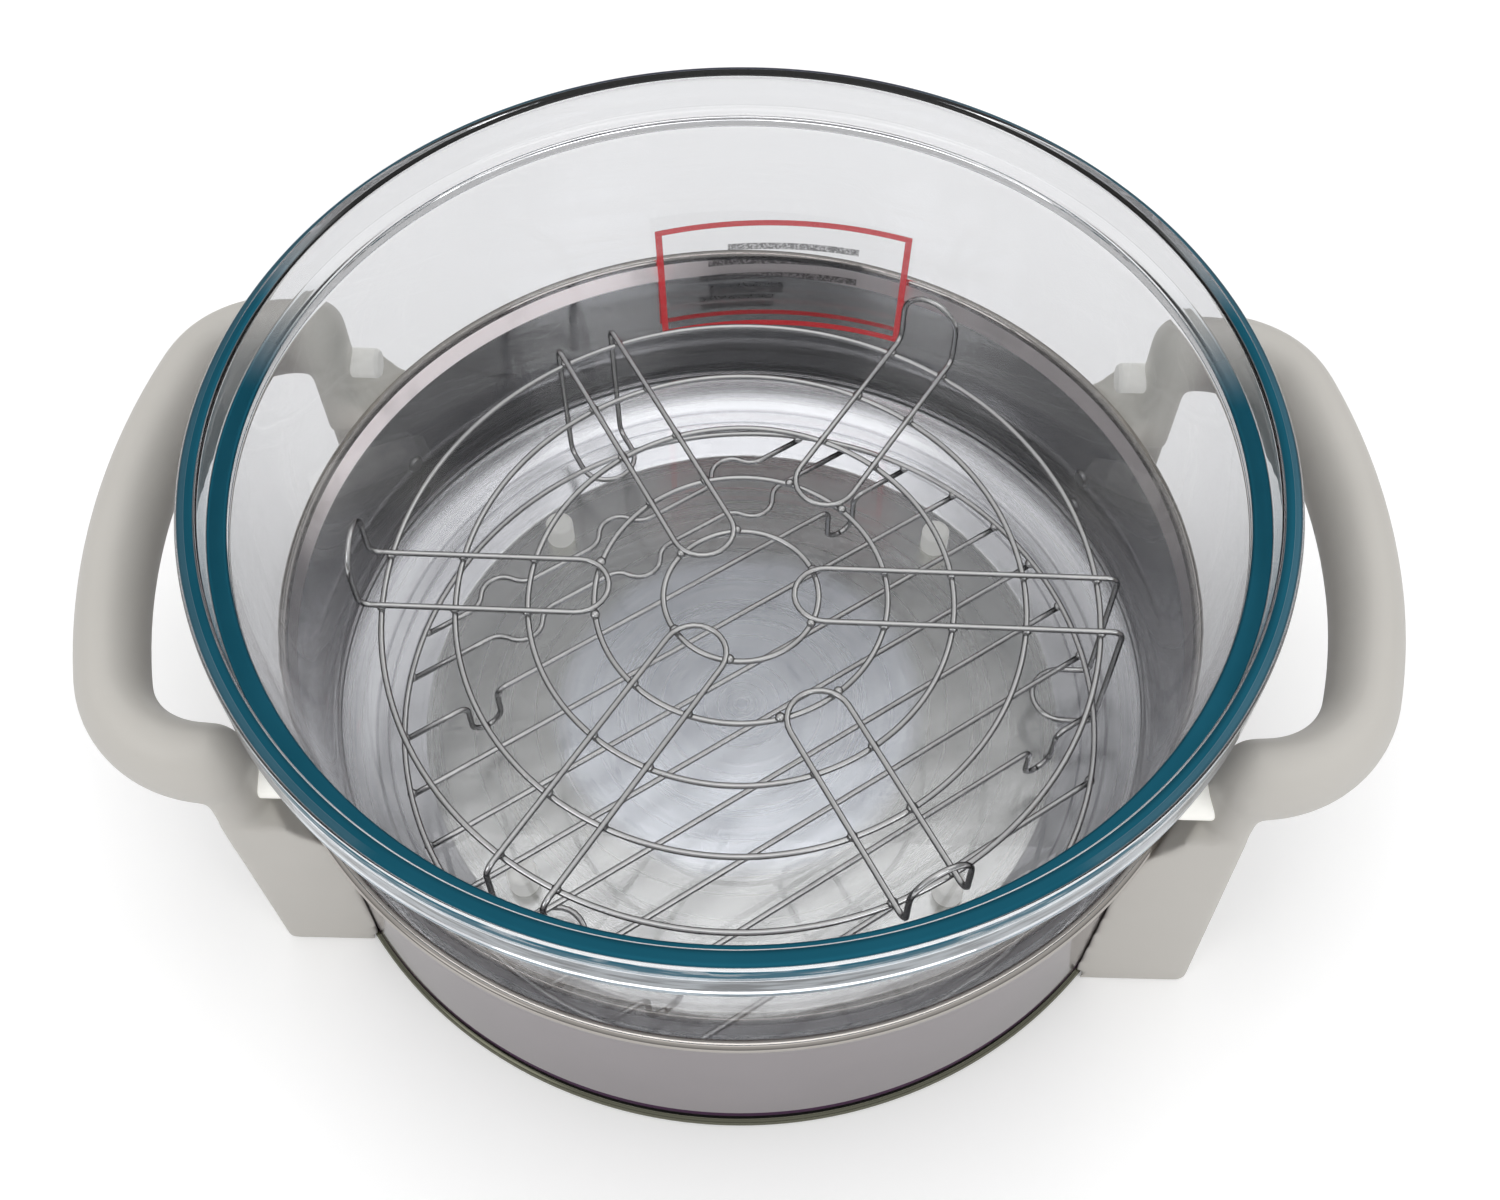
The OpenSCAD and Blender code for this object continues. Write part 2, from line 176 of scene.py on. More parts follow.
def lamp(name, place, aim, size, power):
    """A square softbox at a place, facing a point, that the steel doesn't mirror."""
    light = bpy.data.lights.new(name, "AREA")
    light.size = size
    light.energy = power
    holder = bpy.data.objects.new(name, light)
    holder.location = place
    holder.rotation_euler = (Vector(aim) - Vector(place)).to_track_quat("-Z", "Y").to_euler()
    holder.visible_glossy = False
    bpy.context.scene.collection.objects.link(holder)


lamp("key", (0.9, -1.1, 1.0), (0, 0, 0.05), 0.9, 5.0)
lamp("fill", (-1.1, -0.9, 1.0), (0, 0, 0.05), 0.9, 3.5)
lamp("top", (0.0, 0.2, 1.6), (0, 0, 0.1), 0.9, 6.0)


def mesh_piece(name, verts, faces, material, body=None, nodes=(), slot=None, smooth=True):
    """A new object of these points and faces that rides on a body and stands for CAD nodes."""
    mesh = bpy.data.meshes.new(name)
    mesh.from_pydata([tuple(v) for v in verts], [], [tuple(f) for f in faces])
    mesh.validate()
    shape = bmesh.new()
    shape.from_mesh(mesh)
    bmesh.ops.recalc_face_normals(shape, faces=shape.faces)
    shape.to_mesh(mesh)
    shape.free()
    mesh.polygons.foreach_set("use_smooth", [smooth] * len(mesh.polygons))
    mesh.materials.append(material)
    piece = bpy.data.objects.new(name, mesh)
    bpy.context.scene.collection.objects.link(piece)
    if body:
        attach(piece, body)
    if nodes:
        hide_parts(*nodes)
    return piece


# Table: a white sheet of paper that runs out of the picture on all sides, and takes the
# stand's soft shadow.
paper_white, shader, place = new_material("paper_white", Roughness=0.9)
grain = place.noise(place, 900.0)
grain.mix((0.86, 0.86, 0.86, 1), (0.88, 0.88, 0.88, 1)).feed(shader, "Base Color")
glow = place.node("LightPath", output=0).maths("MAXIMUM", place.node("LightPath", output=6))
glow.mix((0, 0, 0, 1), (1, 1, 1, 1)).feed(shader, "Emission Color")
shader.inputs["Emission Strength"].default_value = 0.22
reach = 3.0
table = mesh_piece(
    "table_paper",
    [(-reach, -reach, 0), (reach, -reach, 0), (reach, reach, 0), (-reach, reach, 0)],
    [(0, 1, 2, 3)],
    paper_white,
)


# Glass bowl: pressed clear glass with a stepped rim that a lid would sit in, a drafted wall
# and a wide round corner into a flat floor. Its thick edges are painted blue-green, as a tinted
# mirror where an edge is seen end-on and dark at the back: painted light, for the tint that
# light takes on along the thick glass. The front of its lip carries painted teal streaks and a
# painted glare, and its wall carries the faint ripples of the mould.
rim_r, rim_z = 170.0, 172.0
lip_in, lip_low = 163.5, 152.0
ledge_r, ledge_z = 157.7, 159.0
floor_z, foot_z = 22.0, 16.0
draft, wall = math.tan(math.radians(4.5)), 5.015


def glass_in(z):
    """Radius of the bowl's inner wall at a height, in mm."""
    return ledge_r - (ledge_z - z) * draft


def glass_out(z):
    """Radius of the bowl's outer wall at a height, in mm."""
    return glass_in(z) + wall


def rounded(corners, closed=False, arc=9, near=0.35, run=12.0):
    """A dense outline through (across, up, radius) corners, each rounded to its radius.
    Close points beside each arc keep the flats between them flat when shaded."""
    count = len(corners)
    arcs = []
    for i, (x, z, r) in enumerate(corners):
        here = np.array((x, z), float)
        if r == 0 or (not closed and i in (0, count - 1)):
            arcs.append([here])
            continue
        before = np.array(corners[i - 1][:2], float) - here
        after = np.array(corners[(i + 1) % count][:2], float) - here
        a, b = before / np.linalg.norm(before), after / np.linalg.norm(after)
        half = math.acos(max(-1, min(1, float(a @ b)))) / 2
        middle = (a + b) / np.linalg.norm(a + b)
        centre = here + middle * r / math.sin(half)
        first, last = here + a * r / math.tan(half), here + b * r / math.tan(half)
        t0 = math.atan2(*(first - centre)[::-1])
        t1 = math.atan2(*(last - centre)[::-1])
        turn = (t1 - t0 + math.pi) % (2 * math.pi) - math.pi
        arcs.append(
            [
                centre + r * np.array((math.cos(t0 + turn * k / arc), math.sin(t0 + turn * k / arc)))
                for k in range(arc + 1)
            ]
        )
    outline = []
    for i, points in enumerate(arcs):
        outline += points
        if i == count - 1 and not closed:
            break
        begin, end = points[-1], arcs[(i + 1) % count][0]
        length = np.linalg.norm(end - begin)
        if length < 3 * near:
            continue
        inner = max(1, int(length / run))
        stops = [near / length, *np.linspace(near / length, 1 - near / length, inner + 1)[1:]]
        outline += [begin + (end - begin) * t for t in stops]
    return np.array(outline)


def lathe(name, outline, closed, steps, **options):
    """Turns an outline, in mm, round the z axis. An open one starts and ends on the axis."""
    turns = np.arange(steps) * 2 * math.pi / steps
    verts, faces = [], []
    rows = outline if closed else outline[1:-1]
    for across, up in rows:
        verts += [(across * math.cos(t) * mm, across * math.sin(t) * mm, up * mm) for t in turns]
    for i in range(len(rows) if closed else len(rows) - 1):
        here, there = i * steps, (i + 1) % len(rows) * steps
        for k in range(steps):
            n = (k + 1) % steps
            faces.append((here + k, here + n, there + n, there + k))
    if not closed:
        first, last = len(verts), len(verts) + 1
        verts += [(0, 0, outline[0][1] * mm), (0, 0, outline[-1][1] * mm)]
        top = (len(rows) - 1) * steps
        for k in range(steps):
            n = (k + 1) % steps
            faces.append((first, n, k))
            faces.append((last, top + k, top + n))
    return mesh_piece(name, verts, faces, **options)


clear_glass, shader, place = new_material(
    "clear_glass", Roughness=0.0, IOR=1.5, Transmission_Weight=1.0
)
x, y, z, r = split(place)
behind = y / r
# Painted light on the rim: blue-green paint, set as a tinted mirror, on the ledge and in lines over
# the lip where an edge is seen end-on, turning to a dark line at the back.
ledge = r.band(157.5 * mm, 163.3 * mm, 0.2 * mm) * z.band(158.2 * mm, 159.6 * mm, 0.2 * mm)
top = z.step(170.3 * mm, 170.8 * mm)
streak = place.noise(place, 40.0, 3.0, (1, 1, 6))
inner_line = r.band(164.4 * mm, 166.7 * mm, 0.35 * mm) * behind.step(0.3, 0.6, 1.0, 0.0)
front_fill = r.band(164.4 * mm, 168.9 * mm, 0.35 * mm) * behind.step(-0.85, -0.6, 1.0, 0.0)
outer_line = (r + behind.step(0.1, 0.6) * -0.9 * mm).band(166.9 * mm, 168.8 * mm, 0.35 * mm)
colour = inner_line.maths("MAXIMUM", front_fill).maths("MAXIMUM", outer_line * 0.95) * top
front = behind.step(-0.8, -0.5, 1.0, 0.0) * r.step(168.9 * mm, 169.2 * mm)
long_streak = place.noise(place, 60.0, 2.0, (1, 1, 9))
# Painted teal streaks down the front of the lip's outer wall.
painted_lip_streaks = front * z.band(167.0 * mm, 170.6 * mm, 0.4 * mm) * long_streak.step(0.3, 0.5, 0.5, 1.0)
colour = colour.maths("MAXIMUM", painted_lip_streaks)
colour = (ledge * behind.step(0.15, 0.5, 1.0, 0.0)).maths("MAXIMUM", colour)
painted_teal = streak.mix((0.012, 0.115, 0.175, 1), (0.02, 0.15, 0.225, 1))
painted_teal = behind.step(0.86, 0.97).mix(painted_teal, (0.05, 0.06, 0.11, 1))
colour.mix((0.8, 0.805, 0.82, 1), painted_teal).feed(shader, "Base Color")
colour.feed(shader, "Metallic")
soft_edge = front * z.band(151.8 * mm, 154.5 * mm, 0.4 * mm)
(colour * 0.4 + soft_edge * 0.3).feed(shader, "Roughness")
# Painted glare: long pale streaks that glow on the front of the lip.
glare = front * z.band(152.6 * mm, 166.4 * mm, 0.4 * mm) * long_streak.step(0.35, 0.6, 0.35, 1.0)
glare.mix((0, 0, 0, 1), (0.7, 0.76, 0.82, 1)).feed(shader, "Emission Color")
shader.inputs["Emission Strength"].default_value = 0.38
ripple = place.noise(place, 45.0, 1.0, (1, 1, 0.15)) * z.step(24 * mm, 50 * mm)
ripple.relief(0.00015).feed(shader, "Normal")

bowl_outline = rounded(
    [
        (0, foot_z, 0),
        (glass_out(foot_z), foot_z, 21),
        (glass_out(lip_low), lip_low, 1.2),
        (rim_r, lip_low, 2),
        (rim_r, rim_z, 2.2),
        (lip_in, rim_z, 2.2),
        (lip_in, ledge_z, 0.8),
        (ledge_r, ledge_z, 0.9),
        (glass_in(floor_z), floor_z, 16),
        (0, floor_z, 0),
    ]
)
lathe(
    "bowl_glass",
    bowl_outline,
    False,
    256,
    material=clear_glass,
    body="bowl",
    nodes=("glass_bowl",),
    slot="bowl_glass",
)


# Panel on the bowl's back: a clear film stuck outside, printed with a red frame and plain
# grey bars. The print stands a little askew on it.
panel_mid, panel_low, panel_high = math.radians(85.5), 51.0, 113.0
panel_turn, panel_r, film_gap = math.radians(38.0), 158.5, 0.2
print_z, print_slope = 82.0, 0.062
frame_half_wide, frame_half_tall = 50.3, 26.6
film_print, shader, place = new_material("film_print", Roughness=0.35)
x, y, z, r = split(place)
around = (y.maths("ARCTAN2", x) - panel_mid) * panel_r
up = z * 1000.0 - print_z + around * print_slope
across_edge = around.maths("ABSOLUTE") - frame_half_wide
edge = across_edge.maths("MAXIMUM", up.maths("ABSOLUTE") - frame_half_tall)
frame_line = edge.band(-1.9, 0.5, 0.3)
bars = None
for low, left, right in ((13, -30, 22), (5.5, -32, 30), (-2.0, -30, 34), (-9.5, 0, 30), (-17, 4, 34)):
    line = up.band(low, low + 2.8, 0.4) * around.band(left, right, 0.6)
    bars = line if bars is None else bars.maths("MAXIMUM", line)
speckle = place.noise(place, 900.0, 2.0).step(0.35, 0.6)
ink = frame_line.maths("MAXIMUM", bars * (0.45 + speckle * 0.4))
frame_line.mix((0.06, 0.05, 0.05, 1), (0.8, 0.015, 0.025, 1)).feed(shader, "Base Color")
# The red frame also glows: painted light, for the light that comes through the film from behind.
frame_line.mix((0, 0, 0, 1), (0.8, 0.015, 0.025, 1)).feed(shader, "Emission Color")
shader.inputs["Emission Strength"].default_value = 0.45
(ink * 0.85 + 0.04).feed(shader, "Alpha")
columns, rows = 48, 10
verts, faces = [], []
for j in range(rows + 1):
    up = panel_low + (panel_high - panel_low) * j / rows
    for i in range(columns + 1):
        turn = panel_mid + panel_turn * (i / columns - 0.5)
        out = (glass_out(up) + film_gap) * mm
        verts.append((out * math.cos(turn), out * math.sin(turn), up * mm))
for j in range(rows):
    for i in range(columns):
        a = j * (columns + 1) + i
        faces.append((a, a + columns + 1, a + columns + 2, a + 1))
mesh_piece("film_panel", verts, faces, film_print, "bowl", ("panel_film",), "panel_print")


# Steel band: one strip of polished stainless steel, welded to a ring, flared above and
# rolled outward round both edges. The roll leaves a fine slit where the sheet comes home.
mirror_steel, shader, place = new_material("mirror_steel", IOR=1.05)
x, y, z, r = split(place)
smear = place.noise(place, 30.0, 4.0)
drawn = place.noise(place, 700.0, 2.0, (1, 1, 0.03))
warp = place.noise(place, 12.0, 1.0, (1, 1, 0.5))
outside = r.step(158.2 * mm, 158.6 * mm)
bright = smear.mix((0.66, 0.65, 0.65, 1), (0.73, 0.72, 0.72, 1))
# Painted reflections and shadow on the outer face: a darker pinkish grey for the shaded table it
# mirrors, lighter at its top, near black with a little purple low down for the stand's own shadow on
# the table, and dark olive on the foot's bead.
face = smear.mix((0.36, 0.33, 0.345, 1), (0.42, 0.385, 0.4, 1))
low = z.step(11.2 * mm, 11.8 * mm)
shade = z.step(7.5 * mm, 9 * mm).mix((0.001, 0.001, 0.001, 1), (0.045, 0.014, 0.045, 1))
face_with_painted_shadow = low.mix(shade, face)
foot = z.step(4.8 * mm, 5.2 * mm).mix((0.2, 0.2, 0.15, 1), face_with_painted_shadow)
outer = z.step(78 * mm, 82 * mm).mix(foot, (0.5, 0.47, 0.44, 1))
# Painted highlight: the flare is painted a pinkish white, part matt, and glows at the back on the
# left.
flare = z.band(80.0 * mm, 86.4 * mm, 0.6 * mm) * r.step(160.6 * mm, 160.9 * mm, 1.0, 0.0)
flare = flare * smear.step(0.3, 0.5, 0.75, 1.0)
painted_band_colour = flare.mix(outside.mix(bright, outer), (0.88, 0.82, 0.82, 1))
painted_band_colour.feed(shader, "Base Color")
left_rear = y.step(0.0, 60 * mm) * x.step(-70 * mm, 0.0, 1.0, 0.15)
(flare * left_rear).mix((0, 0, 0, 1), (0.82, 0.75, 0.75, 1)).feed(shader, "Emission Color")
shader.inputs["Emission Strength"].default_value = 0.85
# The painted shadow strip low on the outer face is made matt, so that it stays dark.
painted_shadow_strip = outside * z.band(5 * mm, 11.4 * mm, 0.2 * mm)
(1.0 - flare * 0.75 - painted_shadow_strip).feed(shader, "Metallic")
(0.05 + smear * 0.05 + drawn * 0.03 + flare * 0.3).feed(shader, "Roughness")
(drawn * 0.02 + warp).relief(0.00025).feed(shader, "Normal")
band_in, flare_low, bead = 157.66, 79.5, 2.0
top_bead, low_bead = (161.16, 87.5), (158.16, 2.5)


def bead_arc(centre, start, end, r=bead, count=20):
    turns = np.radians(np.linspace(start, end, count))
    return [(centre[0] + r * math.cos(t), centre[1] + r * math.sin(t)) for t in turns]


band_outline = (
    [(band_in, 4.8), (band_in, 7)]
    + [(band_in, z) for z in (20, 40, 60, 72, flare_low - 0.6)]
    + [(band_in + 0.1, flare_low + 0.6), (top_bead[0] - bead + 0.35, 85.6)]
    + bead_arc(top_bead, 165, -118, count=26)
    + [(top_bead[0] - 0.75, 86.35), (top_bead[0] - 0.95, 86.2), (top_bead[0] - 1.0, 85.2)]
    + [(band_in + 1.1, flare_low + 0.2), (band_in + 1, flare_low - 0.8)]
    + [(band_in + 1, z) for z in (72, 60, 40, 20, 7, 4.7)]
    + bead_arc(low_bead, 70, -250, count=28)
)
lathe(
    "stand_band",
    np.array(band_outline),
    True,
    256,
    material=mirror_steel,
    body="stand",
    nodes=("steel_band",),
    slot="polished_steel",
)


# Pan: a shallow dish of the same polished sheet, spun so that it keeps fine rings, welded
# inside the band's foot. The pads under the bowl stand on it.
spun_steel, shader, place = new_material("spun_steel", Metallic=1.0)
x, y, z, r = split(place)
smear = place.noise(place, 22.0, 4.0)
turned_at = place.node("CombineXYZ", {}, {0: r, 1: 0.0, 2: 0.0})
grooves = place.noise(turned_at, 420.0, 2.0)
fine = place.noise(turned_at, 600.0, 1.0)
# Painted reflection and shade on the pan: its middle is painted brighter and bluer than its flat
# edge, its slope darker at the back, and the whole pan darker at the front.
on_flat = smear.mix((0.66, 0.66, 0.635, 1), (0.7, 0.7, 0.675, 1))
middle = grooves.step(0.35, 0.65).mix((0.87, 0.895, 0.93, 1), (0.93, 0.95, 0.98, 1))
flat = (r + smear * 0.01).step(68 * mm, 80 * mm).mix(middle, on_flat)
slope = grooves.step(0.36, 0.46).mix((0.6, 0.6, 0.62, 1), (0.85, 0.85, 0.86, 1))
slope = y.step(20 * mm, 110 * mm, 0.0, 0.4).mix(slope, (0.2, 0.2, 0.2, 1))
pan_painted_colour = r.step(120 * mm, 121.5 * mm).mix(flat, slope)
y.step(-110 * mm, -30 * mm, 0.32, 0.0).mix(pan_painted_colour, (0.25, 0.25, 0.25, 1)).feed(shader, "Base Color")
(0.25 + fine * 0.04).feed(shader, "Roughness")
(grooves + fine * 0.3).relief(0.000006).feed(shader, "Normal")
flat_r, edge_in, edge_out = 121.0, 156.66, 157.7
pan_low, pan_edge_z, pan_top, sheet = 4.0, 17.0, 20.0, 1.0
pan_outline = rounded(
    [
        (0, pan_low, 0),
        (flat_r, pan_low, 3),
        (edge_in, pan_edge_z, 1.2),
        (edge_out, pan_edge_z + 0.6, 0.2),
        (edge_out, pan_top, 0.2),
        (edge_in, pan_top, 0.2),
        (edge_in, pan_edge_z + sheet, 1.2),
        (flat_r - 0.33, pan_low + sheet, 3),
        (0, pan_low + sheet, 0),
    ],
    arc=5,
)
lathe(
    "stand_pan",
    pan_outline,
    False,
    192,
    material=spun_steel,
    body="stand",
    nodes=("base_pan",),
    slot="pan_steel",
)


# Handles: one moulding of ivory plastic on each side, with an oval grip bent like a D and two
# square legs that carry the stand. Each leg lies against the band up to a shoulder over its
# rolled edge, and the post above it ends in a rounded top.
leg_y, grip_z, post_in, reach = 88.5, 119.5, 170.89, 214.0
grip_r, grip_h, post_r, post_top = 11.25, 32.0, 10.85, 124.65
post_x = math.sqrt(post_in**2 - leg_y**2) + post_r
leg_x = post_x - post_r + 14.5
ivory, shader, place = new_material("ivory_plastic", Roughness=0.42)
x, y, z, r = split(place)
cloud = place.noise(place, 18.0, 3.0)
grain = place.noise(place, 1600.0, 2.0)
tone = cloud.mix((0.51, 0.49, 0.455, 1), (0.57, 0.55, 0.515, 1))
tone.feed(shader, "Base Color")
# What stands behind the bowl glows a little, as the glass keeps the lamps' light off it.
through_bowl = y.step(60 * mm, 72 * mm) * r.step(168 * mm, 182 * mm, 1.0, 0.0)
through_bowl = through_bowl * z.step(60 * mm, 90 * mm)
through_bowl.mix((0, 0, 0, 1), (0.5, 0.5, 0.46, 1)).feed(shader, "Emission Color")
shader.inputs["Emission Strength"].default_value = 0.45
(0.38 + cloud * 0.1).feed(shader, "Roughness")
(grain * 0.02 + cloud * 1.2).relief(0.0004).feed(shader, "Normal")


def tube(points, radius, sides=16, closed=False):
    """Points and faces of a round bar along a line, in mm, with flat ends unless it is closed."""
    points = np.array(points)
    count = len(points)
    if closed:
        ahead, behind = np.roll(points, -1, 0), np.roll(points, 1, 0)
    else:
        ahead = np.vstack([points[1:], points[-1:]])
        behind = np.vstack([points[:1], points[:-1]])
    along = ahead - behind
    along /= np.linalg.norm(along, axis=1)[:, None]
    across = np.cross(along[0], (0.31, 0.17, 0.93))
    verts = []
    for point, way in zip(points, along):
        across = across - way * (across @ way)
        across /= np.linalg.norm(across)
        other = np.cross(way, across)
        for k in range(sides):
            t = 2 * math.pi * k / sides
            verts.append((point + radius * (across * math.cos(t) + other * math.sin(t))) * mm)
    faces = []
    for i in range(count if closed else count - 1):
        for k in range(sides):
            n, a, b = (k + 1) % sides, i * sides, (i + 1) % count * sides
            faces.append((a + k, a + n, b + n, b + k))
    if not closed:
        faces.append(tuple(reversed(range(sides))))
        faces.append(tuple(range((count - 1) * sides, count * sides)))
    return verts, faces


def grip_line(front_up):
    """The grip's middle line on the right: a shallow arc between two tight bends. Its rear end
    stands nearer the middle, and so does its front end by front_up."""
    bend, turn, rear_in = 37.0, math.radians(74.0), 4.5
    half = math.pi / 2 - turn
    wide = (leg_y - bend * (1 - math.cos(turn))) / math.sin(half)
    far_x = reach - grip_r - wide
    bend_x = far_x + wide * math.cos(half) - bend * math.sin(turn)
    points = [(post_x, -leg_y)]
    points += [
        (bend_x + bend * math.sin(t), -leg_y + bend * (1 - math.cos(t)))
        for t in np.linspace(0, turn, 14)
    ]
    points += [
        (far_x + wide * math.cos(t), wide * math.sin(t)) for t in np.linspace(-half, 0, 9)[1:]
    ]
    points += [(x, -y) for x, y in reversed(points[:-1])]
    near_post = [max(0.0, min(1.0, (190 - x) / 30)) for x, y in points]
    shifts = [
        -rear_in * near if y > 0 else front_up * max(0.0, min(1.0, (-20 - y) / 50))
        for (x, y), near in zip(points, near_post)
    ]
    return [(x, y + shift, grip_z) for (x, y), shift in zip(points, shifts)]


def ball(centre, r, sides=32):
    """Points and faces of a ball, in mm: it rounds off the end of a bar."""
    middle = Vector(centre) * mm
    verts = [middle + Vector((0, 0, -r * mm)), middle + Vector((0, 0, r * mm))]
    faces, rows = [], 15
    for i in range(1, rows + 1):
        up = math.pi * (i / (rows + 1) - 0.5)
        for k in range(sides):
            t = 2 * math.pi * k / sides
            out = Vector((math.cos(up) * math.cos(t), math.cos(up) * math.sin(t), math.sin(up)))
            verts.append(middle + out * r * mm)
    for k in range(sides):
        n = (k + 1) % sides
        faces.append((0, 2 + n, 2 + k))
        faces.append((1, 2 + (rows - 1) * sides + k, 2 + (rows - 1) * sides + n))
        for i in range(rows - 1):
            a = 2 + i * sides
            faces.append((a + k, a + n, a + sides + n, a + sides + k))
    return verts, faces


def stacked(ring, levels):
    """Faces that join so many rings of points, one above the other, and close both ends."""
    faces = []
    for i in range(levels - 1):
        for k in range(ring):
            n = (k + 1) % ring
            faces.append((i * ring + k, i * ring + n, (i + 1) * ring + n, (i + 1) * ring + k))
    faces.append(tuple(reversed(range(ring))))
    faces.append(tuple(range((levels - 1) * ring, levels * ring)))
    return faces


def leg(at, lean):
    """Points and faces of one leg's block at y = at, its foot leaning by so much along y.
    Each level is a height and the radius of the inner face there: past the foot's bead, up
    the band, and out over its flare to the shoulder."""
    half, edge, leg_top = post_r, 3.0, 96.0
    levels = [(0.0, 160.5), (5.1, 160.5), (5.1, 158.8), (78.0, 158.8), (86.0, 163.6)]
    levels += [(90.0, 167.0), (leg_top, 170.5)]
    verts = []
    for z, inside in levels:
        mid = at + lean * (1 - z / leg_top)
        inner = [
            (math.sqrt(inside**2 - (mid + s) ** 2), mid + s) for s in np.linspace(half, -half, 9)
        ]
        outer = [(leg_x - edge, mid - half), (leg_x - edge / 4, mid - half + edge / 4)]
        outer += [(leg_x, mid - half + edge), (leg_x, mid + half - edge)]
        outer += [(leg_x - edge / 4, mid + half - edge / 4), (leg_x - edge, mid + half)]
        verts += [(x * mm, y * mm, z * mm) for x, y in inner + outer]
    return verts, stacked(len(inner) + len(outer), len(levels))


def post(at, top):
    """Points and faces of the post above a leg: round towards the bowl, flat outside."""
    half_turn = [math.radians(t) for t in np.linspace(90, 270, 17)]
    verts = []
    dome = [(top + post_r * math.sin(t), math.cos(t)) for t in np.radians(range(0, 86, 9))]
    for z, size in [(77.0, 1.0), *dome]:
        back = (leg_x - post_x - 1.5) * size
        plan = [(post_r * size * math.cos(t), post_r * size * math.sin(t)) for t in half_turn]
        plan += [(back, -post_r * size), (back + 1.5, -post_r * size * 0.75)]
        plan += [(back + 1.5, post_r * size * 0.75), (back, post_r * size)]
        verts += [((post_x + x) * mm, (at + y) * mm, z * mm) for x, y in plan]
    return verts, stacked(len(plan), len(dome) + 1)


def joined(parts):
    """One list of points and one of faces from those of several parts."""
    verts, faces = [], []
    for part_verts, part_faces in parts:
        faces += [tuple(i + len(verts) for i in face) for face in part_faces]
        verts += part_verts
    return verts, faces


def apply_modifiers(piece):
    """Keeps the mesh that the piece's modifiers give, so that it rides as a plain mesh."""
    bpy.context.view_layer.update()
    shape = bpy.data.meshes.new_from_object(
        piece.evaluated_get(bpy.context.evaluated_depsgraph_get())
    )
    piece.modifiers.clear()
    piece.data = shape


for side_name, sign, front_lean, front_up in (("left", -1, 2.5, 0.0), ("right", 1, -8.0, 2.8)):
    line = grip_line(front_up)
    verts, faces = joined([tube(line, grip_r, 40), ball(line[0], grip_r), ball(line[-1], grip_r)])
    oval = grip_h / (2 * grip_r)
    verts = [(x, y, grip_z * mm + (z - grip_z * mm) * oval) for x, y, z in verts]
    legs = [leg(front_up - leg_y, front_lean), leg(leg_y - 1, 0.0)]
    posts = [post(front_up + 0.5 - leg_y, post_top - 5), post(leg_y - 3.5, post_top - 2)]
    verts, faces = joined([(verts, faces), *legs, *posts])
    verts = [(sign * x, y, z) for x, y, z in verts]
    handle = mesh_piece(
        "handle_grip_" + side_name, verts, faces, ivory, "stand",
        ("handle_" + side_name,), "handle_plastic",
    )
    melt = handle.modifiers.new("melt", "REMESH")
    melt.mode = "VOXEL"
    melt.voxel_size = 0.0009
    melt.use_smooth_shade = True
    soften = handle.modifiers.new("soften", "SMOOTH")
    soften.factor = 0.5
    soften.iterations = 22
    apply_modifiers(handle)


# Bumpers and pads: white silicone rubber. Four noses on the legs steady the bowl, four round
# feet on the pan carry it. They glow a little, as the glass keeps the lamps' light off them.
white_rubber, shader, place = new_material("white_rubber", Roughness=0.55)
cloud = place.noise(place, 120.0, 3.0)
white = cloud.mix((0.7, 0.695, 0.66, 1), (0.78, 0.775, 0.74, 1))
white.feed(shader, "Base Color")
white.feed(shader, "Emission Color")
shader.inputs["Emission Strength"].default_value = 0.5
(0.5 + cloud * 0.15).feed(shader, "Roughness")
cloud.relief(0.0002).feed(shader, "Normal")
bumper_z, nose_x, bumper_y = 104.0, 136.6, 86.0
pad_turn, pad_r = math.radians(45.0), 108.0
nose_shape = rounded(
    [(0, 0, 0), (4.6, 0, 0.8), (5.5, 1.6, 0.9), (5.5, 12.6, 0.6), (0, 12.6, 0)], arc=7
)
pad_shape = rounded([(0, 0, 0), (5.5, 0, 0.4), (5.5, 10.7, 1.6), (0, 10.7, 0)], arc=7)
for where, rear, right in (
    ("front_left", -1, -1), ("front_right", -1, 1), ("rear_left", 1, -1), ("rear_right", 1, 1),
):
    nose = lathe(
        "bumper_nose_" + where, nose_shape, False, 32, material=white_rubber,
        nodes=("bumper_" + where,), slot="white_rubber",
    )
    place_at = Matrix.Translation((right * nose_x * mm, rear * bumper_y * mm, bumper_z * mm))
    nose.data.transform(place_at @ Matrix.Rotation(right * math.pi / 2, 4, "Y"))
    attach(nose, "stand")
    turn = rear * pad_turn if right > 0 else math.pi - rear * pad_turn
    pad = lathe(
        "pad_foot_" + where, pad_shape, False, 32, material=white_rubber,
        nodes=("bowl_pad_" + where,), slot="white_rubber",
    )
    pad.data.transform(
        Matrix.Translation((pad_r * math.cos(turn) * mm, pad_r * math.sin(turn) * mm, 5 * mm))
    )
    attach(pad, "stand")


# Screws: steel pan heads inside the band that hold the legs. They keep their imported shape.
screw_steel, shader, place = new_material("screw_steel", Metallic=1.0)
worn = place.noise(place, 400.0, 3.0)
worn.mix((0.42, 0.42, 0.42, 1), (0.56, 0.56, 0.55, 1)).feed(shader, "Base Color")
(0.25 + worn * 0.15).feed(shader, "Roughness")
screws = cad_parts["handle_screws"]
screws.data.materials.clear()
screws.data.materials.append(screw_steel)


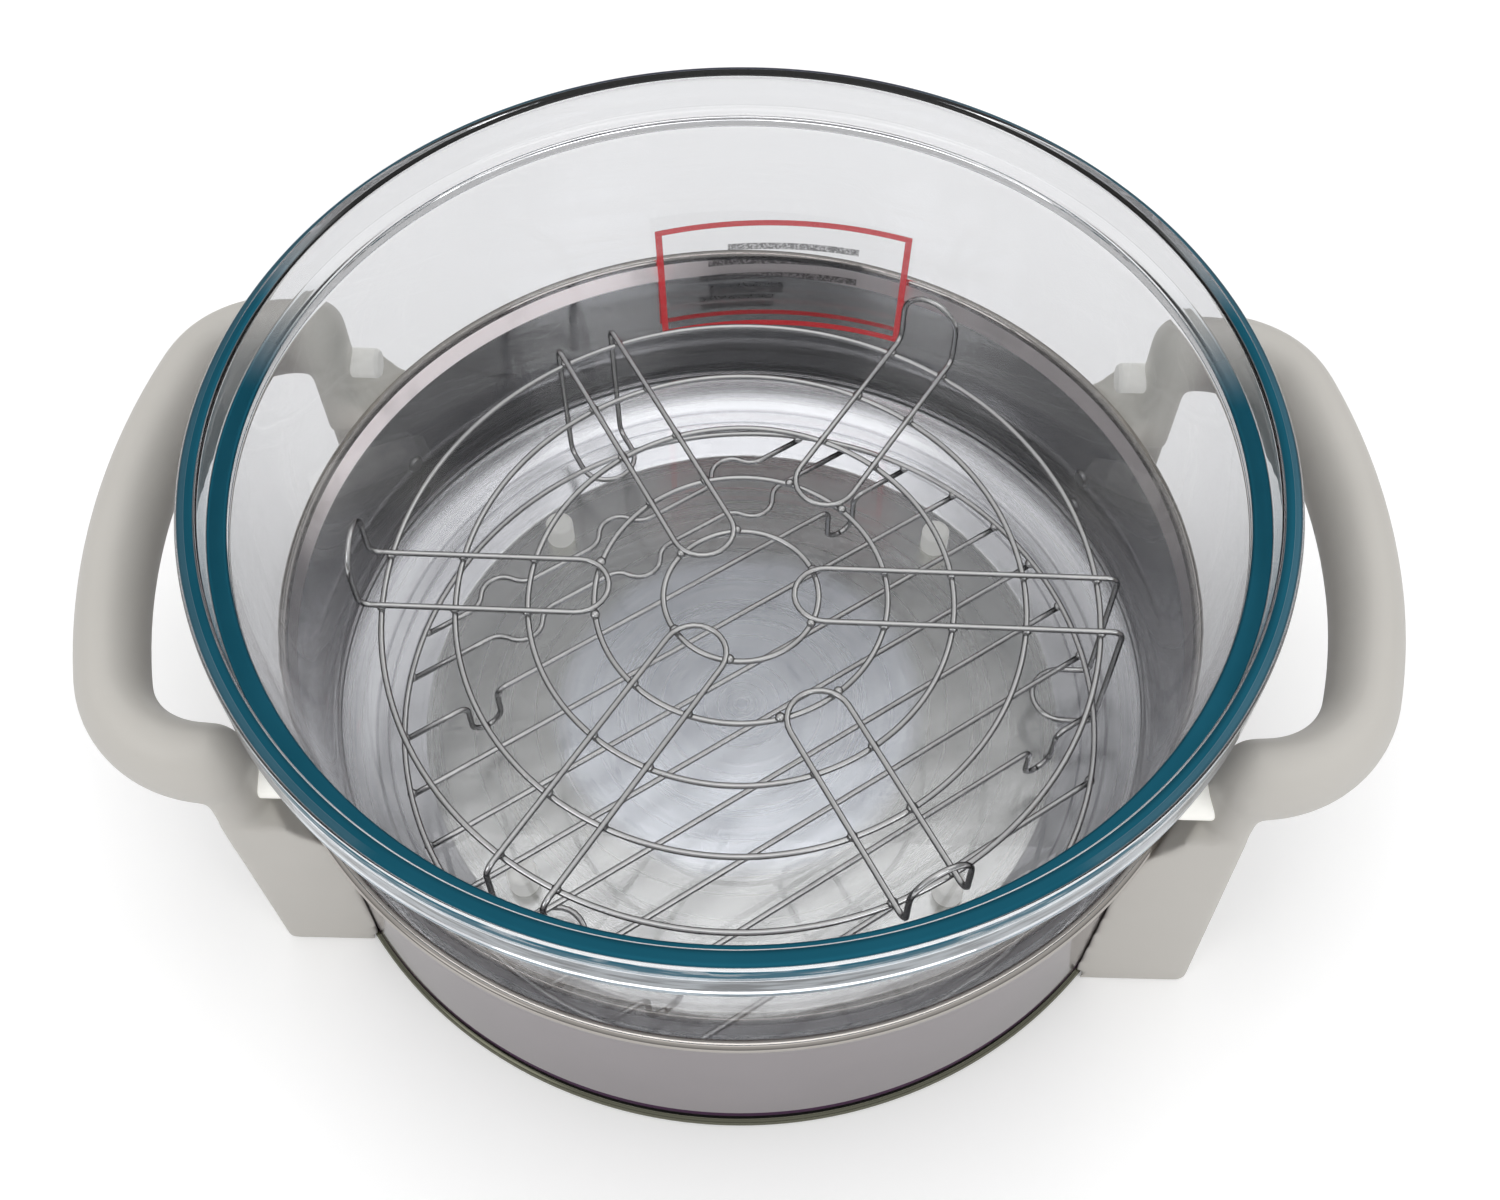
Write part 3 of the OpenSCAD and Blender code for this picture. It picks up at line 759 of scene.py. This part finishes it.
# Rack wires: chromed steel wire, bent cold and resistance welded where two wires cross, so
# that each crossing keeps a small swollen weld. The chrome is painted bright along the middle
# of a wire and dark along its edges, where it turns away: a painted reflection.
chrome_wire, shader, place = new_material("chrome_wire", Metallic=1.0)
haze = place.noise(place, 80.0, 3.0)
fine = place.noise(place, 900.0, 2.0)
core = haze.mix((0.6, 0.6, 0.605, 1), (0.74, 0.74, 0.735, 1))
painted_dark_edge = place.node("LayerWeight", {}, {0: 0.5}, 1).step(0.25, 0.75)
painted_dark_edge.mix(core, (0.09, 0.085, 0.09, 1)).feed(shader, "Base Color")
(0.1 + haze * 0.14).feed(shader, "Roughness")
(fine + haze).relief(0.00005).feed(shader, "Normal")
wire_r = 1.06


def bent(corners, radii, per_turn=48):
    """A line through the corners, in mm, with an arc of its own radius at each inner one."""
    points = [np.array(corners[0], float)]
    for i in range(1, len(corners) - 1):
        here = np.array(corners[i], float)
        a = np.array(corners[i - 1], float) - here
        b = np.array(corners[i + 1], float) - here
        a, b = a / np.linalg.norm(a), b / np.linalg.norm(b)
        half = math.acos(max(-1.0, min(1.0, float(a @ b)))) / 2
        middle = (a + b) / np.linalg.norm(a + b)
        centre = here + middle * radii[i - 1] / math.sin(half)
        first = here + a * radii[i - 1] / math.tan(half) - centre
        last = here + b * radii[i - 1] / math.tan(half) - centre
        turn = math.pi - 2 * half
        steps = max(3, round(per_turn * turn / (2 * math.pi)))
        for k in range(steps + 1):
            t = k / steps
            mixed = first * math.sin((1 - t) * turn) + last * math.sin(t * turn)
            points.append(centre + mixed / math.sin(turn))
    points.append(np.array(corners[-1], float))
    return points


def turned(points, angle, shift=(0.0, 0.0)):
    """Points turned about z by an angle in degrees, then moved."""
    c, s = math.cos(math.radians(angle)), math.sin(math.radians(angle))
    return [(x * c - y * s + shift[0], x * s + y * c + shift[1], z) for x, y, z in points]


def wire(name, points, body, node, closed=False):
    verts, faces = tube(points, wire_r, 16, closed)
    mesh_piece(name, verts, faces, chrome_wire, body, (node,), "rack_wire")


def circle_line(radius, z, steps=144):
    turns = np.arange(steps) * 2 * math.pi / steps
    return [(radius * math.cos(t), radius * math.sin(t), z) for t in turns]


def welds(name, places, body, seed):
    """Small swollen welds, each a lump of its own size, joined as one piece."""
    pick = random.Random(seed)
    verts, faces = [], []
    for place_at in places:
        wide, tall = 1.75 + pick.uniform(-0.15, 0.2), 1.5 + pick.uniform(-0.1, 0.15)
        first = len(verts)
        for i in range(7):
            up = math.pi * (i / 6 - 0.5)
            for k in range(12):
                t = 2 * math.pi * k / 12
                lump = 1 + pick.uniform(-0.07, 0.07) * math.cos(up)
                verts.append(
                    (
                        (place_at[0] + wide * lump * math.cos(up) * math.cos(t)) * mm,
                        (place_at[1] + wide * lump * math.cos(up) * math.sin(t)) * mm,
                        (place_at[2] + tall * math.sin(up)) * mm,
                    )
                )
        for i in range(6):
            for k in range(12):
                a, n = first + i * 12, (k + 1) % 12
                if i == 0:
                    faces.append((a, a + 12 + n, a + 12 + k))
                elif i == 5:
                    faces.append((a + k, a + n, a + 12))
                else:
                    faces.append((a + k, a + n, a + 12 + n, a + 12 + k))
    mesh_piece(name, verts, faces, chrome_wire, body, slot="rack_wire")


# Upper rack: five rings under six hairpins. Three long hairpins bend down as legs with feet
# turned inward, and three short ones bend up as loops, so that it stands either way up.
ring_radii = (27.0, 51.0, 74.0, 99.0, 124.33)
ring_z, pin_z, foot_line_z = 84.0, 86.2, 23.5
pin_half, out_r, bend = 11.0, 131.33, 4.0
long_tip, short_tip, foot_run, loop_rise = 18.5, 46.0, 22.0, 26.0
rack_turn, weld_z = -1.0, 85.1
for i, radius in enumerate(ring_radii, 1):
    wire("rack_ring_%d" % i, circle_line(radius, ring_z), "upper_rack", "upper_ring_%d" % i, True)


def tip(middle_x, z, steps=14):
    """The hairpin's round end, from its far wire to its near one, in the flat."""
    turns = np.linspace(math.pi / 2, 3 * math.pi / 2, steps)
    return [(middle_x + pin_half * math.cos(t), pin_half * math.sin(t), z) for t in turns]


weld_places = []
for name, turn in (("right", 0), ("rear", 120), ("front", 240)):
    tip_x, foot_x = long_tip + pin_half, out_r - foot_run + pin_half
    corners = [(tip_x, 0, pin_z), (out_r, 0, pin_z)]
    corners += [(out_r, 0, foot_line_z), (foot_x, 0, foot_line_z)]
    half_pin = bent(corners, (bend, bend))
    near = [(x, -pin_half, z) for x, y, z in half_pin]
    far = [(x, pin_half, z) for x, y, z in half_pin]
    line = tip(tip_x, pin_z) + near[1:] + list(reversed(tip(foot_x, foot_line_z)))[1:-1]
    line += list(reversed(far))[:-1]
    wire(
        "rack_leg_" + name, turned(line, turn + rack_turn), "upper_rack", "upper_leg_" + name, True
    )
    for radius in ring_radii:
        x = math.sqrt(radius**2 - pin_half**2)
        weld_places += turned([(x, s * pin_half, weld_z) for s in (-1, 1)], turn + rack_turn)
for name, turn in (("left", 180), ("rear", 60), ("front", 300)):
    tip_x, rise = short_tip + pin_half, pin_z + loop_rise - pin_half
    half_loop = bent([(tip_x, 0, pin_z), (out_r, 0, pin_z), (out_r, 0, rise)], (bend,))
    near = [(x, -pin_half, z) for x, y, z in half_loop]
    far = [(x, pin_half, z) for x, y, z in half_loop]
    crown = [
        (out_r, pin_half * -math.cos(t), rise + pin_half * math.sin(t))
        for t in np.linspace(0, math.pi, 14)
    ]
    line = tip(tip_x, pin_z) + near[1:] + crown[1:-1] + list(reversed(far))[:-1]
    wire(
        "rack_loop_" + name, turned(line, turn + rack_turn), "upper_rack", "upper_loop_" + name, True
    )
    for radius in ring_radii[1:]:
        x = math.sqrt(radius**2 - pin_half**2)
        weld_places += turned([(x, s * pin_half, weld_z) for s in (-1, 1)], turn + rack_turn)
welds("rack_welds", weld_places, "upper_rack", 3)


# Lower rack: a ring over ten cross wires. Two of the wires are bent down as feet, and two
# have three bulges each that face each other, so that six eggs can lie between them.
low_r, low_at, low_turn = 123.54, (3.5, -20.9), 34.8
low_z, cross_z, low_first, low_pitch = 45.0, 42.8, 55.8, 21.0
low_weld_z, foot_at, foot_half = 43.9, 79.5, 6.0
egg_pitch, bulge, lean = 51.5, 8.0, math.radians(60)
wire("low_ring", turned(circle_line(low_r, low_z), 0, low_at), "lower_rack", "lower_ring", True)


def low_half(v):
    return math.sqrt(low_r**2 - v * v)


def low_wire(name, points, node):
    wire(name, turned(points, low_turn, low_at), "lower_rack", node)
    for end in (points[0], points[-1]):
        low_welds.extend(turned([(end[0] * 0.997, end[1], low_weld_z)], low_turn, low_at))


low_welds = []
for node, i in ((1, 1), (2, 2), (3, 3), (4, 4), (5, 5), (6, 7)):
    v = low_first - i * low_pitch
    line = [(u, v, cross_z) for u in np.linspace(-low_half(v), low_half(v), 24)]
    low_wire("low_wire_%d" % node, line, "lower_wire_%d" % node)
for name, i in (("rear", 0), ("front", 6)):
    v = low_first - i * low_pitch
    corners, radii = [(-low_half(v), v, cross_z)], []
    for middle in (-foot_at, foot_at):
        corners += [(middle - foot_half, v, cross_z), (middle - foot_half, v, foot_line_z)]
        corners += [(middle + foot_half, v, foot_line_z), (middle + foot_half, v, cross_z)]
        radii += [4.0, 5.99, 5.99, 4.0]
    corners.append((low_half(v), v, cross_z))
    low_wire("low_foot_" + name, bent(corners, radii), "lower_foot_wire_" + name)
for name, v, way in (("inner", 76.8, -1), ("outer", 91.2, 1)):
    line = [(-low_half(v), v)]
    for middle in (-egg_pitch, 0.0, egg_pitch):
        reach_u = 2 * bulge * math.sin(lean)
        line += [
            (middle - reach_u + bulge * math.sin(t), v + way * bulge * (1 - math.cos(t)))
            for t in np.linspace(0, lean, 6)
        ]
        line += [
            (middle + bulge * math.sin(t), v + way * bulge * (1 - 2 * math.cos(lean) + math.cos(t)))
            for t in np.linspace(-lean, lean, 12)[1:]
        ]
        line += [
            (middle + reach_u - bulge * math.sin(t), v + way * bulge * (1 - math.cos(t)))
            for t in np.linspace(lean, 0, 6)[1:]
        ]
    line.append((low_half(v), v))
    low_wire("low_egg_" + name, [(u, w, cross_z) for u, w in line], "lower_egg_wire_" + name)
welds("low_welds", low_welds, "lower_rack", 5)
